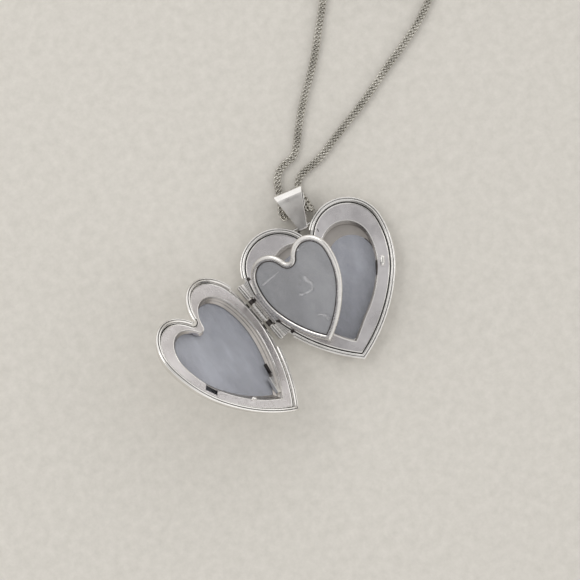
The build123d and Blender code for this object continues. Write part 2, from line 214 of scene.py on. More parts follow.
def film(name, tint, haze, scratch, size):
    """Clear acetate: see-through, with cloudy haze and thin curved pale scratches."""
    m = Nodes(name)
    m.set(Roughness=0.16, IOR=1.46)
    clouds = m.noise(140.0, 5.0, 0.62, stretch=(1.0, 0.5, 1.0), turn=25)
    curves = m.noise(size, 1.5, 0.4, stretch=(0.8, 1.7, 1.0), turn=-28)
    off_line = m.add("ShaderNodeMath", Operation="SUBTRACT")
    off_line.inputs[1].default_value = 0.5
    m.link(curves, off_line.inputs[0])
    distance = m.add("ShaderNodeMath", Operation="ABSOLUTE")
    m.link(off_line.outputs[0], distance.inputs[0])
    line = m.spread(distance.outputs[0], scratch, 0.0, 0.004, 0.030)
    patches = m.spread(m.noise(size * 1.7, 2.0), 0.0, 1.0, 0.50, 0.60)
    broken = m.add("ShaderNodeMath", Operation="MULTIPLY")
    m.link(line, broken.inputs[0])
    m.link(patches, broken.inputs[1])
    total = m.add("ShaderNodeMath", Operation="MAXIMUM")
    m.link(m.spread(clouds, haze[0], haze[1], 0.35, 0.68), total.inputs[0])
    m.link(broken.outputs[0], total.inputs[1])
    pale = tuple(min(c * 1.7, 1) for c in tint)
    colour = m.ramp(total.outputs[0], [(haze[1], tint), (min(haze[1] + 0.1, 1), pale)])
    return m.finish(colour, m.spread(clouds, 0.12, 0.24), m.bump(clouds, 0.15, 0.03), total.outputs[0])


POLISHED = silver("polished_silver", (0.74, 0.725, 0.70), (0.87, 0.855, 0.835), (0.10, 0.20))
WORN = silver("worn_silver", (0.60, 0.585, 0.565), (0.84, 0.82, 0.80), (0.14, 0.34), 2.2)
SATIN = satin("satin_silver", (0.54, 0.52, 0.53), (0.78, 0.755, 0.765), (0.20, 0.34), 7.0)
# painted shade: a darker copy of the satin silver for the recess walls and floor
RECESS = satin("recess_silver", (0.36, 0.335, 0.315), (0.52, 0.49, 0.465), (0.30, 0.45), 3.0)
STRAP = satin("strap_silver", (0.52, 0.505, 0.49), (0.80, 0.785, 0.765), (0.24, 0.44), 2.0)
CHAIN = silver("chain_silver", (0.30, 0.285, 0.25), (0.62, 0.60, 0.55), (0.12, 0.24))
CARD = card("picture_card", (0.385, 0.397, 0.445), (0.475, 0.487, 0.54))
PAGE_CARD = card("page_card", (0.31, 0.315, 0.335), (0.375, 0.38, 0.40))
FILM = film("clear_film", (0.44, 0.45, 0.49), (0.04, 0.40), 0.12, 150.0)
PAGE_FILM = film("page_film", (0.40, 0.40, 0.41), (0.05, 0.22), 0.45, 120.0)
# painted shade: near-black silver for the slots, gaps and holes, the page's seat line and its barrels, which
# lie in shadow
SHADE_BLACK = satin("painted_shade_black", (0.035, 0.03, 0.03), (0.10, 0.09, 0.085), (0.35, 0.6), 1.0)
SHADE = silver("shaded_silver", (0.22, 0.21, 0.205), (0.34, 0.33, 0.32), (0.2, 0.35))
STEEL = satin("spring_steel", (0.32, 0.32, 0.33), (0.45, 0.45, 0.46), (0.25, 0.4), 2.0)


FLOOR_HALF = 1.5                # in metres


def make_floor():
    """Plain pale paper with a faint mottle."""
    m = Nodes("floor")
    cloud = m.noise(620.0, 6.0, 0.72)
    fine = m.noise(900.0, 4.0, 0.6)
    colour = m.ramp(cloud, [(0.3, (0.59, 0.568, 0.522)), (0.7, (0.69, 0.662, 0.615))])
    m.set(Roughness=0.8)
    m.finish(colour, None, m.bump(m.noise(260.0, 4.0), 0.35, 0.25, m.bump(fine, 0.25, 0.06)))
    mesh = bpy.data.meshes.new("floor")
    corners = [(x * FLOOR_HALF, y * FLOOR_HALF, 0) for x, y in ((-1, -1), (1, -1), (1, 1), (-1, 1))]
    mesh.from_pydata(corners, [], [(0, 1, 2, 3)])
    mesh.materials.append(m.mat)
    floor = bpy.data.objects.new("floor", mesh)
    bpy.context.scene.collection.objects.link(floor)
    floor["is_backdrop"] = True


make_floor()


# ======================================================================
# light
# ======================================================================
KEY_WHERE = (-0.36, 0.30, 0.50)         # in metres
KEY_SIZE = 0.40
KEY_POWER = 0.8
KEY_TINT = (1.0, 0.985, 0.96)
# the tent's brightness from the horizon (0) up to overhead (1), and its share from left to right
TENT_UP = [(0.0, 1.12), (0.30, 1.20), (0.66, 1.10), (0.86, 0.68), (1.0, 0.57)]
TENT_LEFT, TENT_RIGHT = 0.80, 1.12
TENT_GREEN, TENT_BLUE = 0.99, 0.975


def make_key_light():
    data = bpy.data.lights.new("key", "AREA")
    data.shape = "DISK"
    data.size = KEY_SIZE
    data.energy = KEY_POWER
    data.color = KEY_TINT
    lamp = bpy.data.objects.new("key", data)
    bpy.context.scene.collection.objects.link(lamp)
    lamp.location = KEY_WHERE
    lamp.rotation_euler = Vector(KEY_WHERE).to_track_quat("Z", "Y").to_euler()


def make_world():
    """A white tent seen in the metal: greyer straight overhead, brighter on its right side."""
    world = bpy.data.worlds.new("world")
    bpy.context.scene.world = world
    world.use_nodes = True
    tree = world.node_tree
    coords = tree.nodes.new("ShaderNodeTexCoord")
    split = tree.nodes.new("ShaderNodeSeparateXYZ")
    ramp = tree.nodes.new("ShaderNodeValToRGB")
    side = tree.nodes.new("ShaderNodeMapRange")
    while len(ramp.color_ramp.elements) < len(TENT_UP):
        ramp.color_ramp.elements.new(0.5)
    for element, (place, level) in zip(ramp.color_ramp.elements, TENT_UP):
        element.position = place
        element.color = (level, level * TENT_GREEN, level * TENT_BLUE, 1)
    side.inputs["From Min"].default_value = -1.0
    side.inputs["To Min"].default_value = TENT_LEFT
    side.inputs["To Max"].default_value = TENT_RIGHT
    tree.links.new(coords.outputs["Generated"], split.inputs[0])
    tree.links.new(split.outputs["Z"], ramp.inputs["Fac"])
    tree.links.new(split.outputs["X"], side.inputs["Value"])
    background = tree.nodes["Background"]
    tree.links.new(ramp.outputs["Color"], background.inputs["Color"])
    tree.links.new(side.outputs["Result"], background.inputs["Strength"])


make_world()
make_key_light()
bpy.context.scene.view_settings.view_transform = "Standard"


# ======================================================================
# meshes
# ======================================================================
# an edge stays crisp where its faces meet at more than this many degrees
BAND_CRISP, SHEET_CRISP, PRISM_CRISP, ROUND_CRISP, RECESS_CRISP, BAIL_CRISP = 40, 30, 35, 50, 25, 14


def join_loops(bm, a, b):
    """Faces between two closed loops with the same number of points."""
    count = len(a)
    return [bm.faces.new((a[i], a[(i + 1) % count], b[(i + 1) % count], b[i])) for i in range(count)]


def join_capped(bm, loops, dark=()):
    """Solid through a row of closed loops; dark lists the places round them in the second material."""
    for a, b in zip(loops, loops[1:]):
        for i, face in enumerate(join_loops(bm, a, b)):
            face.material_index = 1 if i in dark else 0
    bm.faces.new(loops[0])
    bm.faces.new(loops[-1])


def make_object(bm, name, materials, crisp=None):
    """Object with smooth faces, and with the edges sharper than crisp degrees left crisp."""
    bmesh.ops.recalc_face_normals(bm, faces=bm.faces)
    if crisp is not None:
        for edge in bm.edges:
            if len(edge.link_faces) == 2:
                edge.smooth = edge.calc_face_angle(0.0) < math.radians(crisp)
    for face in bm.faces:
        face.smooth = True
    mesh = bpy.data.meshes.new(name)
    bm.to_mesh(mesh)
    bm.free()
    for material in materials:
        mesh.materials.append(material)
    obj = bpy.data.objects.new(name, mesh)
    bpy.context.scene.collection.objects.link(obj)
    return obj


def finish_piece(bm, name, materials, body, crisp=None, replaces=None):
    """Object that rides a body and the CAD node that it stands for."""
    piece = make_object(bm, name, materials, crisp)
    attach(piece, body)
    if replaces is not None:
        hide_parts(replaces)


# ======================================================================
# chain
# ======================================================================
LAY_Z = 0.64                    # height of the chain's middle where it lies on the floor
# route given point by point: left strand down to the bail, through it, and the right strand out to the coil
STRANDS = [
    (20.2, 44.3, 1.0), (19.1, 42.0, LAY_Z), (16.6, 38.4, LAY_Z), (13.2, 33.2, LAY_Z), (9.9, 29.4, LAY_Z),
    (7.3, 25.9, LAY_Z), (5.2, 22.5, LAY_Z), (3.9, 20.6, LAY_Z), (1.7, 20.2, LAY_Z), (-0.2, 18.9, LAY_Z),
    (-0.75, 16.6, LAY_Z),
    (-1.15, 15.0, LAY_Z), (-1.60, 13.9, 0.70), (-1.95, 12.7, 1.0), (-1.80, 11.7, 2.10), (-0.8, 12.1, 2.40),
    (0.9, 12.3, 2.45), (2.0, 11.9, 2.35), (2.65, 11.5, 1.60), (2.75, 12.1, 0.80), (2.5, 13.4, LAY_Z),
    (2.1, 15.0, LAY_Z),
    (2.5, 16.5, LAY_Z), (3.6, 17.6, LAY_Z), (5.3, 18.0, LAY_Z), (7.6, 18.7, LAY_Z), (10.8, 20.5, LAY_Z),
    (13.7, 22.0, LAY_Z), (18.1, 24.2, LAY_Z), (23.7, 27.7, LAY_Z), (29.6, 30.9, LAY_Z), (34.6, 34.6, LAY_Z),
    (38.2, 39.4, LAY_Z),
]
TAIL = [(29.0, 56.2, 2.3), (26.4, 55.3, 1.7), (23.9, 54.7, LAY_Z), (21.9, 54.3, LAY_Z), (20.6, 53.4, 0.95)]
COIL_X, COIL_Y = 33.1, 50.1
COIL_START = -38.0
COIL_TURNS = 7.38
PER_TURN = 16
COIL_STAY = 0.62                # share of a turn before the chain moves over to the next one
# radius and height of each turn in the coil, in the order it is wound
COIL_SLOTS = [
    (8.2, 0.66), (7.0, 0.66), (5.75, 0.66), (5.75, 1.92), (7.0, 1.92), (6.4, 3.05), (7.65, 2.85), (8.2, 1.95),
]
SPLINE_ORDER, SPLINE_CLOSENESS = 3, 12
PATH_STEP = 0.5
LINK_PITCH = 0.70
LINK_HALF_LONG, LINK_HALF_WIDE, LINK_WIRE_R = 0.51, 0.46, 0.15
LINK_TWIST = 40
LINK_AROUND, LINK_SECTION = 20, 7
UP_PULL = 0.12                  # how fast the links turn back upright
TINY = 1e-12


def coil_points():
    """Turns side by side and on each other; each moves over to the next in its last part."""
    steps = int(COIL_TURNS * PER_TURN)
    points = []
    for i in range(steps + 1):
        turn = i / PER_TURN
        here = int(turn)
        over = min(max((turn - here - COIL_STAY) / (1 - COIL_STAY), 0.0), 1.0)
        over = over * over * (3 - 2 * over)
        (r0, z0), (r1, z1) = COIL_SLOTS[here], COIL_SLOTS[min(here + 1, len(COIL_SLOTS) - 1)]
        r, z = r0 + (r1 - r0) * over, z0 + (z1 - z0) * over
        angle = math.radians(COIL_START) + turn * math.tau
        points.append((COIL_X + r * math.cos(angle), COIL_Y + r * math.sin(angle), z))
    return points


def spline_points(route):
    """Points along the NURBS spline whose control points are the route."""
    curve = bpy.data.curves.new("route", "CURVE")
    curve.dimensions = "3D"
    curve.resolution_u = SPLINE_CLOSENESS
    spline = curve.splines.new("NURBS")
    spline.points.add(len(route) - 1)
    for point, (x, y, z) in zip(spline.points, route):
        point.co = (x * MM, y * MM, z * MM, 1.0)
    spline.order_u = SPLINE_ORDER
    spline.use_endpoint_u = True
    holder = bpy.data.objects.new("route", curve)
    bpy.context.scene.collection.objects.link(holder)
    bpy.context.view_layer.update()
    mesh = bpy.data.meshes.new_from_object(holder)
    points = [v.co.copy() for v in mesh.vertices]
    bpy.data.objects.remove(holder)
    bpy.data.curves.remove(curve)
    bpy.data.meshes.remove(mesh)
    return points


def evenly(points, step):
    """The same line with its points one step apart, the step fitted to the length."""
    total = sum((b - a).length for a, b in zip(points, points[1:]))
    count = round(total / step)
    step = total / count
    out, along, target = [points[0].copy()], 0.0, step
    for a, b in zip(points, points[1:]):
        run = (b - a).length
        while run > 0 and along + run >= target - TINY and len(out) <= count:
            out.append(a.lerp(b, (target - along) / run))
            target += step
        along += run
    return out


def frames_along(points):
    """Tangent, sideways and up at each point; up is carried along and leans to +Z."""
    up = Vector((0, 0, 1))
    out = []
    for i, point in enumerate(points):
        tangent = (points[min(i + 1, len(points) - 1)] - points[max(i - 1, 0)]).normalized()
        up = up + Vector((0, 0, UP_PULL))
        up = (up - tangent * up.dot(tangent)).normalized()
        out.append((point, tangent, up.cross(tangent), up))
    return out


def add_link(bm, place):
    """One curb link: an oval of round wire, each end turned the other way."""
    centre, along, side, up = place
    wire_r = LINK_WIRE_R * MM
    spine = []
    for i in range(LINK_AROUND):
        t = math.tau * i / LINK_AROUND
        lean = math.radians(LINK_TWIST) * math.cos(t)
        wide = LINK_HALF_WIDE * MM * math.sin(t)
        spine.append(centre + along * (LINK_HALF_LONG * MM * math.cos(t)) + side * (wide * math.cos(lean))
                     + up * (wide * math.sin(lean)))
    rings = []
    for i, point in enumerate(spine):
        tangent = (spine[(i + 1) % LINK_AROUND] - spine[i - 1]).normalized()
        out = point - centre
        out = (out - tangent * out.dot(tangent)).normalized()
        other = tangent.cross(out)
        rings.append([bm.verts.new(point + (out * math.cos(a) + other * math.sin(a)) * wire_r)
                      for a in (math.tau * k / LINK_SECTION for k in range(LINK_SECTION))])
    for ring, following in zip(rings, rings[1:] + rings[:1]):
        join_loops(bm, ring, following)


def make_chain():
    line = spline_points(STRANDS + coil_points() + TAIL)
    bm = bmesh.new()
    for place in frames_along(evenly(line, LINK_PITCH * MM))[1:-1]:
        add_link(bm, place)
    chain = make_object(bm, "chain", [CHAIN])
    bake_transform(chain)
    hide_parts("chain_left", "chain_at_bail", "chain_right", "chain_coil", "chain_tail")
    return chain, line


chain, chain_line = make_chain()
[tuple(p) for p in evenly(chain_line, PATH_STEP * MM)]

# ======================================================================
# heart outlines, the same as the case's
# ======================================================================
LOBE_X, LOBE_Y, LOBE_R = 6.00, 5.23, 5.43
SHOULDER_R, SHOULDER_ANGLE = 14.6, 6.9
SIDE_R, FLANK_ANGLE = 27.4, -29.9
CLEFT_R = 1.25
HEART_MID_Y = -0.91
# each fit is a scale about the heart's middle and a shift in x and y
WHOLE = (1.0, 0.0, 0.0)
BACK_WINDOW = (0.724, 0.87, 0.36)
BACK_INSERT = (0.69, 0.96, -1.40)
FRONT_WINDOW = (0.814, 0.01, -0.03)
PAGE = (0.705, -2.51, 0.34)
HINGE = Vector((-11.87, 0.0, PARTING_Z))
HINGE_TILT = math.radians(14.89)
ALONG_PIN = Vector((-math.sin(HINGE_TILT), math.cos(HINGE_TILT), 0.0))
FROM_PIN = Vector((math.cos(HINGE_TILT), math.sin(HINGE_TILT), 0.0))
OPEN_ANGLE = 134.9
PAGE_ANGLE = 39.1
CLEFT_STEPS, LOBE_STEPS, SHOULDER_STEPS, FLANK_STEPS = 8, 44, 26, 26


def arc(cx, cy, r, first, last, steps):
    """Points on an arc, its last point left out."""
    out = []
    for i in range(steps):
        t = first + (last - first) * i / steps
        out.append((cx + r * math.cos(t), cy + r * math.sin(t)))
    return out


def heart(grow=0.0, fit=WHOLE):
    """Closed outline from the cleft down the right side to the tip and back up the left."""
    scale, dx, dy = fit
    g = grow / scale
    reach = LOBE_R + CLEFT_R
    cleft_y = LOBE_Y + math.sqrt(reach ** 2 - LOBE_X ** 2)
    upper, lower = math.radians(SHOULDER_ANGLE), math.radians(FLANK_ANGLE)
    shoulder_x = LOBE_X - (SHOULDER_R - LOBE_R) * math.cos(upper)
    shoulder_y = LOBE_Y - (SHOULDER_R - LOBE_R) * math.sin(upper)
    flank_x = shoulder_x - (SIDE_R - SHOULDER_R) * math.cos(lower)
    flank_y = shoulder_y - (SIDE_R - SHOULDER_R) * math.sin(lower)
    into = math.atan2(cleft_y - LOBE_Y, -LOBE_X)
    tip = -math.acos(-flank_x / (SIDE_R + g))
    right = arc(0, cleft_y, CLEFT_R - g, -math.pi / 2, into - math.pi, CLEFT_STEPS)
    right += arc(LOBE_X, LOBE_Y, LOBE_R + g, into, upper, LOBE_STEPS)
    right += arc(shoulder_x, shoulder_y, SHOULDER_R + g, upper, lower, SHOULDER_STEPS)
    right += arc(flank_x, flank_y, SIDE_R + g, lower, tip, FLANK_STEPS)
    right.append((0.0, flank_y + (SIDE_R + g) * math.sin(tip)))
    outline = right + [(-x, y) for x, y in reversed(right[1:-1])]
    return [(x * scale + dx, (y - HEART_MID_Y) * scale + HEART_MID_Y + dy) for x, y in outline]


def by_pin(x, y):
    """Distance inward from the pin's line, and along it."""
    offset = Vector((x, y, 0)) - Vector((HINGE.x, HINGE.y, 0))
    return offset.dot(FROM_PIN), offset.dot(ALONG_PIN)


def turned(angle):
    return (Matrix.Translation(HINGE) @ Matrix.Rotation(math.radians(angle), 4, ALONG_PIN)
            @ Matrix.Translation(-HINGE))


LIFT = Matrix.Translation((0, 0, PARTING_Z))
MIRROR = Matrix.Diagonal((1, 1, -1, 1))
PLACES = {"case": LIFT, "cover": turned(-OPEN_ANGLE) @ LIFT @ MIRROR, "page": turned(-PAGE_ANGLE) @ LIFT}


def runs_of(keep):
    """Index runs round a loop where keep is true; the whole loop when nothing is left out."""
    count = len(keep)
    if all(keep):
        return [(list(range(count)), True)]
    first = next(i for i in range(count) if keep[i] and not keep[i - 1])
    runs, run = [], []
    for k in range(count):
        i = (first + k) % count
        if keep[i]:
            run.append(i)
        elif run:
            runs.append((run, False))
            run = []
    if run:
        runs.append((run, False))
    return runs


def everywhere(x, y):
    return True


def unmoved(x, y):
    return x, y


def plan_loop(bm, body, outline, z):
    """Closed loop of vertices from an outline in a half's own plan."""
    return [bm.verts.new(PLACES[body] @ Vector((x, y, z)) * MM) for x, y in outline]


def loft(name, rows, material, body, keep=everywhere, crisp=BAND_CRISP,
         replaces=None, dark=(), moved=unmoved):
    """Solid band round the heart: its section is the closed line of (grow, fit, height) rows.

    Faces that start at a row listed in dark are shaded; moved shifts points in plan.
    """
    kept = [keep(x, y) for x, y in heart(rows[0][0], rows[0][1])]
    place = PLACES[body]
    loops = [[place @ Vector((*moved(x, y), z)) for x, y in heart(grow, fit)] for grow, fit, z in rows]
    bm = bmesh.new()
    for run, whole in runs_of(kept):
        verts = [[bm.verts.new(loop[i] * MM) for i in run] for loop in loops]
        steps = len(run) if whole else len(run) - 1
        for row, (a, b) in enumerate(zip(verts, verts[1:] + verts[:1])):
            for i in range(steps):
                j = (i + 1) % len(run)
                face = bm.faces.new((a[i], a[j], b[j], b[i]))
                face.material_index = 1 if row in dark else 0
        if not whole:
            bm.faces.new([v[0] for v in verts])
            bm.faces.new([v[-1] for v in reversed(verts)])
    finish_piece(bm, name, [material, SHADE] if dark else [material], body, crisp, replaces)


SHEET_SOFT = 0.04


def disc(name, fit, grow, low, high, material, body, replaces=None, moved=unmoved):
    """Heart-shaped sheet with softened edges; moved shifts its outline's points in plan."""
    soft = min(SHEET_SOFT, (high - low) / 3)
    bm = bmesh.new()
    loops = []
    for row_grow, z in ((grow - soft, low), (grow, low + soft), (grow, high - soft), (grow - soft, high)):
        loops.append(plan_loop(bm, body, [moved(x, y) for x, y in heart(row_grow, fit)], z))
    join_capped(bm, loops)
    finish_piece(bm, name, [material], body, SHEET_CRISP, replaces)


def at(grow, z, fit=WHOLE):
    return (grow, fit, z)


def strip(fit, from_grow, to_grow, low, high):
    """Rectangular section of a narrow band."""
    return [at(from_grow, low, fit), at(from_grow, high, fit), at(to_grow, high, fit), at(to_grow, low, fit)]


def between(a, b, u):
    return tuple(p + (q - p) * u for p, q in zip(a, b))


# ======================================================================
# rims, open at the hinge and the back one at the bail
# ======================================================================
HINGE_FROM, HINGE_TO = -5.75, 5.30
HINGE_REACH = 4.5
BAIL_GAP_LEFT, BAIL_GAP_RIGHT = -0.95, 1.25
PAGE_RELIEF_Y = 7.56
PAGE_RELIEF_HALF_W, PAGE_RELIEF_FROM_Y = 1.3, 6.5


def off_hinge(x, y):
    across, along = by_pin(x, y)
    return not (across < HINGE_REACH and HINGE_FROM < along < HINGE_TO)


def off_hinge_and_bail(x, y):
    return off_hinge(x, y) and not (BAIL_GAP_LEFT < x < BAIL_GAP_RIGHT and y > 0)


def clear_of_page(x, y):
    """The cleft's inner side is cut back straight, so that the shut page lies under it."""
    if abs(x) < PAGE_RELIEF_HALF_W and y > PAGE_RELIEF_FROM_Y:
        y = max(y, PAGE_RELIEF_Y)
    return x, y


RIM_ROWS = [
    at(0.12, -0.45), at(0.12, -0.12), at(0.15, -0.05), at(0.22, -0.01), at(0.30, 0.0), at(0.38, -0.02),
    at(0.43, -0.07), at(0.455, -0.20), at(0.53, -0.20), at(0.555, -0.10), at(0.62, -0.06), at(0.70, -0.07),
    at(0.77, -0.12), at(0.82, -0.22), at(0.83, -0.32), at(0.80, -0.40), at(0.74, -0.45),
]
# the rim's groove rows are drawn in painted shade
RIM_GROOVE = (6, 7, 8)
loft("back_rim_bead", RIM_ROWS, POLISHED, "case", off_hinge_and_bail, replaces="back_rim", dark=RIM_GROOVE)
loft("cover_rim_bead", RIM_ROWS, POLISHED, "cover", off_hinge, replaces="cover_rim", dark=RIM_GROOVE,
     moved=clear_of_page)

# ======================================================================
# frame plates, with raised borders along their edges and round their windows
# ======================================================================
EDGE_ROWS = [at(-0.12, -0.52), at(-0.12, -0.43), at(-0.15, -0.385), at(-0.20, -0.37), at(-0.26, -0.39),
             at(-0.30, -0.45), at(-0.30, -0.52)]
RELIEFS = (5.15, 1.9, -2.95, -5.6)      # places along the pin where the left edge is broken
RELIEF_HALF_W = 0.36
CATCH_FROM_Y, CATCH_TO_Y = -1.9, 0.45
SPRING_FROM_Y, SPRING_TO_Y = -2.3, -0.4
FLANK_X = 5
PLATE_TOP, PLATE_SOFT, PLATE_LOW = -0.46, -0.50, -0.78
PLATE_GROW = -0.12
BACK_TIP = Vector((0.87, -9.12))
BACK_TIP_SHIFT = Vector((-0.85, -1.45))
TIP_REACH, TIP_POWER = 2.6, 1.2         # how far from the tip its right side is drawn along
FLANK_FROM_Y, FLANK_SPAN, FLANK_POWER = -0.5, 8.6, 1.1      # the left side is drawn along below this


def off_reliefs(x, y):
    return x > 0 or all(abs(by_pin(x, y)[1] - along) > RELIEF_HALF_W for along in RELIEFS)


def off_catch(x, y):
    """Clear of the catch on the right flank."""
    return not (x > FLANK_X and CATCH_FROM_Y < y < CATCH_TO_Y)


def off_spring(x, y):
    """Clear of the spring slot beside the catch."""
    return not (x > FLANK_X and SPRING_FROM_Y < y < SPRING_TO_Y)


def border(fit):
    return [at(0.0, -0.60, fit), at(0.0, -0.47, fit), at(0.03, -0.42, fit), at(0.09, -0.40, fit),
            at(0.15, -0.42, fit), at(0.18, -0.47, fit), at(0.18, -0.60, fit)]


def low_tip(x, y):
    """The back window's tip and left flank reach lower than the fitted outline."""
    away = (Vector((x, y)) - BACK_TIP).length
    if x > BACK_TIP.x:
        share = max(0.0, 1.0 - away / TIP_REACH) ** TIP_POWER
    else:
        share = min(max((FLANK_FROM_Y - y) / FLANK_SPAN, 0.0), 1.0) ** FLANK_POWER
    return x + BACK_TIP_SHIFT.x * share, y + BACK_TIP_SHIFT.y * share


def back_plate():
    """Frame plate of the back half, from the groove in to the lowered window."""
    outer = heart(PLATE_GROW)
    inner = [low_tip(x, y) for x, y in heart(0.0, BACK_WINDOW)]
    section = ((outer, PLATE_LOW), (outer, PLATE_SOFT), (outer, PLATE_TOP),
               (inner, PLATE_TOP), (inner, PLATE_SOFT), (inner, PLATE_LOW))
    bm = bmesh.new()
    loops = [plan_loop(bm, "case", outline, z) for outline, z in section]
    for a, b in zip(loops, loops[1:] + loops[:1]):
        join_loops(bm, a, b)
    finish_piece(bm, "back_plate", [SATIN], "case", SHEET_CRISP, "back_frame")


loft("back_plate_edge", EDGE_ROWS, POLISHED, "case", off_reliefs)
loft("cover_plate_edge", EDGE_ROWS, POLISHED, "cover")
back_plate()
loft("back_window_border", border(BACK_WINDOW), POLISHED, "case", off_spring, moved=low_tip)
loft("cover_window_border", border(FRONT_WINDOW), POLISHED, "cover", off_catch)

# ======================================================================
# recess walls, stepped and sloping from each window down to its picture
# ======================================================================
COVER_FILM = (0.735, -0.25, 0.42)
BACK_RECESS = (0.70, 0.87, 0.36)
RECESS_TOP = -0.56
STEP_IN, STEP_DOWN = 0.08, 0.07
WALL_IN, UNDER_OUT, WALL_T = 0.01, 0.05, 0.06
INSERT_TURN = Matrix.Rotation(math.radians(-5.5), 2)
INSERT_MID = Vector((4.2, 1.0))


def recess(top_fit, low_fit, low_z, steps):
    """Sloping wall with fine steps, and its underside."""
    upper, under = [], []
    for i in range(steps + 1):
        u = i / steps
        fit = between(top_fit, low_fit, u)
        z = RECESS_TOP + (low_z - RECESS_TOP) * u
        upper.append(at(-WALL_IN, z, fit))
        if i < steps:
            upper.append(at(-STEP_IN, z - STEP_DOWN, fit))
        under.append(at(UNDER_OUT, z - WALL_T, fit))
    return upper + under[::-1]


def turned_insert(x, y):
    """The back card lies a little turned in its window."""
    return tuple(INSERT_TURN @ (Vector((x, y)) - INSERT_MID) + INSERT_MID)


def at_card_tip(x, y):
    return x < 1.4 and y < -6.0


def beside_card(x, y):
    return x > 1.6 and y < 4.2


# the rows listed in dark are drawn in painted shade
loft("cover_recess", recess(FRONT_WINDOW, COVER_FILM, -1.44, 5), RECESS, "cover", crisp=RECESS_CRISP,
     dark=(1, 5))
loft("back_recess", recess(BACK_WINDOW, BACK_RECESS, -1.74, 4), RECESS, "case", off_spring,
     crisp=RECESS_CRISP, dark=(1, 3), moved=low_tip)
disc("back_recess_floor", BACK_WINDOW, -0.10, -1.90, -1.82, RECESS, "case", moved=low_tip)
disc("back_sheet", BACK_INSERT, 0.0, -1.63, -1.48, FILM, "case", "back_window_film",
     turned_insert)
disc("back_card", BACK_INSERT, 0.0, -1.79, -1.64, CARD, "case", "back_picture",
     turned_insert)
loft("back_sheet_lip", strip(BACK_INSERT, -0.02, 0.10, -1.60, -1.42), POLISHED, "case", at_card_tip,
     moved=turned_insert)

# ======================================================================
# page: flattened wire, with a seat line of painted shade round its films and their card
# ======================================================================
PAGE_WIRE_STEPS = 24
PAGE_WIRE_HALF_W, PAGE_WIRE_HALF_H = 0.46, 0.34
PAGE_WIRE_POWER_W, PAGE_WIRE_POWER_H = 0.8, 0.7
PAGE_SHEET_GROW = -0.50


def squared(value, power):
    """A sine or cosine drawn to its ends, which makes an oval's section squarer."""
    return math.copysign(abs(value) ** power, value)


def page_wire_rows():
    rows = []
    for i in range(PAGE_WIRE_STEPS):
        t = math.tau * i / PAGE_WIRE_STEPS
        grow = -PAGE_WIRE_HALF_W + PAGE_WIRE_HALF_W * squared(math.cos(t), PAGE_WIRE_POWER_W)
        rows.append(at(grow, PAGE_WIRE_HALF_H * squared(math.sin(t), PAGE_WIRE_POWER_H), PAGE))
    return rows


loft("page_wire", page_wire_rows(), WORN, "page", replaces="page_frame")
# painted shade: the seat line stands for the shadow in the slot between the wire and its films
loft("page_seat", strip(PAGE, -0.84, -0.98, 0.10, 0.25), SHADE_BLACK, "page")
for name, low, high, material, slot, node in (
        ("page_sheet_upper", 0.085, 0.21, PAGE_FILM, "clear_film", "page_film_upper"),
        ("page_card", -0.08, 0.08, PAGE_CARD, "picture_card", "page_picture"),
        ("page_sheet_lower", -0.21, -0.085, PAGE_FILM, "clear_film", "page_film_lower")):
    disc(name, PAGE, PAGE_SHEET_GROW, low, high, material, "page", node)

# ======================================================================
# puffed shells
# ======================================================================
SHELL_LIP = 0.48
SHELL_TOP = -0.45                       # where a shell meets its rim
EDGE_IN, EDGE_DEEP = 1.75, 1.72         # the rounded side's way in and down
SHELL_DEEP = 2.5
SHELL_MID_Y = -1.0
EDGE_STEPS, BACK_STEPS = 12, 15
SHELL_MOUTH = SHELL_LIP - 0.42
SHELL_INSIDE = [(SHELL_MOUTH, -0.46), (SHELL_LIP - 0.45, -1.1), (-0.7, -1.9)]     # grow and height


def dome(name, body, node):
    """Shell with a puffed back: the outline drawn in step by step towards the middle."""
    rows = [(SHELL_MOUTH, SHELL_TOP, 1.0)]
    for i in range(EDGE_STEPS + 1):
        t = math.pi / 2 * i / EDGE_STEPS
        rows.append((SHELL_LIP - EDGE_IN * (1 - math.cos(t)), SHELL_TOP - EDGE_DEEP * math.sin(t), 1.0))
    edge_grow, edge_z = rows[-1][:2]
    for i in range(1, BACK_STEPS):
        u = i / BACK_STEPS
        rows.append((edge_grow, edge_z - (SHELL_DEEP + edge_z) * math.sin(math.pi / 2 * u), 1.0 - u))
    bm = bmesh.new()
    loops = []
    for grow, z, scale in rows:
        outline = [(x * scale, (y - SHELL_MID_Y) * scale + SHELL_MID_Y) for x, y in heart(grow)]
        loops.append(plan_loop(bm, body, outline, z))
    for a, b in zip(loops, loops[1:]):
        join_loops(bm, a, b)
    middle = bm.verts.new(PLACES[body] @ Vector((0, SHELL_MID_Y, -SHELL_DEEP)) * MM)
    last = loops[-1]
    for i in range(len(last)):
        bm.faces.new((last[i], last[(i + 1) % len(last)], middle))
    inside = [plan_loop(bm, body, heart(grow), z) for grow, z in SHELL_INSIDE]
    for a, b in zip([loops[0]] + inside, inside):
        join_loops(bm, a, b)
    bm.faces.new(inside[-1])
    finish_piece(bm, name, [POLISHED], body, ROUND_CRISP, replaces=node)


dome("back_dome", "case", "back_shell")
dome("cover_dome", "cover", "cover_shell")

# ======================================================================
# small tabs, and shallow bars of painted shade that stand for shadowed slots and gaps
# ======================================================================
BLOCK_SOFT = 0.06
PILLOW_STEPS, PILLOW_AROUND = 9, 32
PILLOW_POWER, PILLOW_ROUND = 0.5, 0.4
SHADE_BAR_TOP = -0.445


